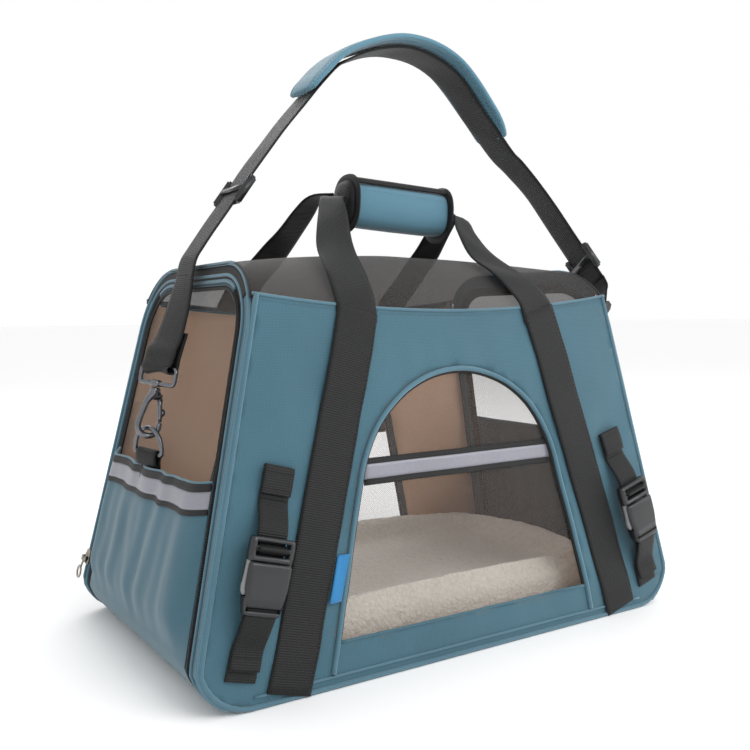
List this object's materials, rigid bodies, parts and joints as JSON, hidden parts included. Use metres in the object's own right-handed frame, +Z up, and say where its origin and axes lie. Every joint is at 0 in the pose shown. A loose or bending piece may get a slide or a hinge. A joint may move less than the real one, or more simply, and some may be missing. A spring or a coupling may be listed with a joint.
{
  "type": "pet transport carrier",
  "caption": "Soft-sided pet carrier with zipped end doors, mesh windows and crown, wrapped hand grip, shoulder strap and belt buckles.",
  "frame": {"origin": "on the floor under the middle of the bag", "axes": "+X along the bag, -Y towards the front window, +Z up"},
  "size_m": [0.479, 0.3173, 0.5162],
  "materials": {
    "canvas": "teal-blue woven polyester",
    "padding": "teal-blue padded polyester",
    "mesh": "dark see-through mesh",
    "lining": "smooth tan lining",
    "webbing": "black ribbed webbing",
    "binding": "black bound edge",
    "zip": "black coil zip tape",
    "reflective": "silver reflective tape",
    "plastic": "moulded, semi-gloss",
    "hardware": "black-nickel finish",
    "zip_metal": "dark zip hardware",
    "fleece": "soft pile",
    "board": "stiff board",
    "label": "blank woven tab"
  },
  "bodies": {
    "root": {"base_panel": "canvas", "front_panel": "canvas", "back_panel": "canvas", "front_lining": "lining", "back_lining": "lining", "top_mesh": "mesh", "end_hoops": "canvas", "zip_tapes": "zip", "front_window_mesh": "mesh", "back_window_mesh": "mesh", "front_window_binding": "binding", "back_window_binding": "binding", "front_reflective_strip": "reflective", "back_reflective_strip": "reflective", "front_handle_straps": "webbing", "back_handle_straps": "webbing", "front_handle_loops": "webbing", "back_handle_loops": "webbing", "side_label": "label", "lower_belts": "webbing", "buckle_sockets": "plastic", "front_left_upper_belt": "webbing", "front_right_upper_belt": "webbing", "back_left_upper_belt": "webbing", "back_right_upper_belt": "webbing", "left_strap_leg": "webbing", "right_strap_leg": "webbing"},
    "left_door": {"left_door_mesh": "mesh", "left_door_trim": "canvas", "left_pocket": "canvas", "left_pocket_strip": "reflective", "left_ring_tab": "webbing"},
    "left_ring": {"left_d_ring": "hardware", "left_hook_eye": "hardware"},
    "left_hook": {"left_hook": "hardware"},
    "left_gate": {"left_gate": "hardware"},
    "left_zip_slider": {"left_zip_slider": "zip_metal"},
    "left_zip_pull": {"left_zip_pull": "zip_metal"},
    "right_door": {"right_door_mesh": "mesh", "right_door_trim": "canvas", "right_pocket": "canvas", "right_pocket_strip": "reflective", "right_ring_tab": "webbing"},
    "right_ring": {"right_d_ring": "hardware", "right_hook_eye": "hardware"},
    "right_hook": {"right_hook": "hardware"},
    "right_gate": {"right_gate": "hardware"},
    "right_zip_slider": {"right_zip_slider": "zip_metal"},
    "right_zip_pull": {"right_zip_pull": "zip_metal"},
    "shoulder_strap": {"shoulder_webbing": "webbing", "shoulder_pad": "padding"},
    "left_adjuster": {"left_adjuster": "plastic"},
    "right_adjuster": {"right_adjuster": "plastic"},
    "handle": {"handle_grip": "padding"},
    "bed": {"fleece_bed": "fleece", "bed_board": "board"},
    "front_left_plug": {"front_left_plug": "plastic"},
    "front_right_plug": {"front_right_plug": "plastic"},
    "back_left_plug": {"back_left_plug": "plastic"},
    "back_right_plug": {"back_right_plug": "plastic"}
  },
  "joints": [
    {"name": "left_door_hinge", "type": "hinge", "parent": "root", "child": "left_door", "pos_m": [-0.21959, 0, 0.01172], "axis": [0, -1, 0], "range_deg": [0, 82], "deforming": ["left_strap_leg"]},
    {"name": "left_ring_swing", "type": "hinge", "parent": "left_door", "child": "left_ring", "pos_m": [-0.2134, 0, 0.16078], "axis": [0.3334, -0.9397, -0.0764], "range_deg": [0, 8], "deforming": ["left_strap_leg"]},
    {"name": "left_hook_swivel", "type": "hinge", "parent": "left_ring", "child": "left_hook", "pos_m": [-0.21305, 0, 0.18245], "axis": [0.2233, 0, 0.9748], "range_deg": [-8, 8]},
    {"name": "left_gate_press", "type": "hinge", "parent": "left_hook", "child": "left_gate", "pos_m": [-0.20334, -0.00087, 0.2028], "axis": [0.1693, 0.9848, -0.0388], "range_deg": [0, 25], "stiffness_Nm_per_rad": 0.02},
    {"name": "left_zip_slide", "type": "slide", "parent": "root", "child": "left_zip_slider", "axis": [0.2222, -0.097, 0.9702], "range_m": [0, 0.18]},
    {"name": "left_pull_swing", "type": "hinge", "parent": "left_zip_slider", "child": "left_zip_pull", "pos_m": [-0.23445, 0.12072, 0.05318], "axis": [0.0217, 0.9953, 0.0946], "range_deg": [0, 110]},
    {"name": "right_door_hinge", "type": "hinge", "parent": "root", "child": "right_door", "pos_m": [0.21959, 0, 0.01172], "axis": [0, 1, 0], "range_deg": [0, 82], "deforming": ["right_strap_leg"]},
    {"name": "right_ring_swing", "type": "hinge", "parent": "right_door", "child": "right_ring", "pos_m": [0.2134, 0, 0.16078], "axis": [0.3334, 0.9397, 0.0764], "range_deg": [0, 8], "deforming": ["right_strap_leg"]},
    {"name": "right_hook_swivel", "type": "hinge", "parent": "right_ring", "child": "right_hook", "pos_m": [0.21305, 0, 0.18245], "axis": [0.2233, 0, -0.9748], "range_deg": [-8, 8]},
    {"name": "right_gate_press", "type": "hinge", "parent": "right_hook", "child": "right_gate", "pos_m": [0.20334, -0.00087, 0.2028], "axis": [0.1693, -0.9848, 0.0388], "range_deg": [0, 25], "stiffness_Nm_per_rad": 0.02},
    {"name": "right_zip_slide", "type": "slide", "parent": "root", "child": "right_zip_slider", "axis": [-0.2222, -0.097, 0.9702], "range_m": [0, 0.18]},
    {"name": "right_pull_swing", "type": "hinge", "parent": "right_zip_slider", "child": "right_zip_pull", "pos_m": [0.23445, 0.12072, 0.05318], "axis": [0.0217, -0.9953, -0.0946], "range_deg": [0, 110]},
    {"name": "strap_swing", "type": "hinge", "parent": "root", "child": "shoulder_strap", "pos_m": [-0.18, 0, 0.3], "axis": [0.9841, -0.1775, -0.0101], "range_deg": [-30, 30], "deforming": ["left_strap_leg", "right_strap_leg"]},
    {"name": "left_adjuster_slide", "type": "slide", "parent": "shoulder_strap", "child": "left_adjuster", "axis": [0.59, 0, 0.8074], "range_m": [0, 0.045]},
    {"name": "right_adjuster_slide", "type": "slide", "parent": "shoulder_strap", "child": "right_adjuster", "axis": [-0.2842, 0.4736, 0.8336], "range_m": [0, 0.045]},
    {"name": "handle_drop", "type": "slide", "parent": "root", "child": "handle", "axis": [0, 0, -1], "range_m": [0, 0.014], "deforming": ["front_handle_loops", "back_handle_loops"]},
    {"name": "front_left_buckle_release", "type": "slide", "parent": "root", "child": "front_left_plug", "axis": [0.2655, 0.0959, 0.9593], "range_m": [0, 0.026], "deforming": ["front_left_upper_belt"]},
    {"name": "front_right_buckle_release", "type": "slide", "parent": "root", "child": "front_right_plug", "axis": [-0.2655, 0.0959, 0.9593], "range_m": [0, 0.026], "deforming": ["front_right_upper_belt"]},
    {"name": "back_left_buckle_release", "type": "slide", "parent": "root", "child": "back_left_plug", "axis": [0.2655, -0.0959, 0.9593], "range_m": [0, 0.026], "deforming": ["back_left_upper_belt"]},
    {"name": "back_right_buckle_release", "type": "slide", "parent": "root", "child": "back_right_plug", "axis": [-0.2655, -0.0959, 0.9593], "range_m": [0, 0.026], "deforming": ["back_right_upper_belt"]},
    {"name": "bed_lift", "type": "slide", "parent": "root", "child": "bed", "axis": [0, 0, 1], "range_m": [0, 0.08]}
  ]
}
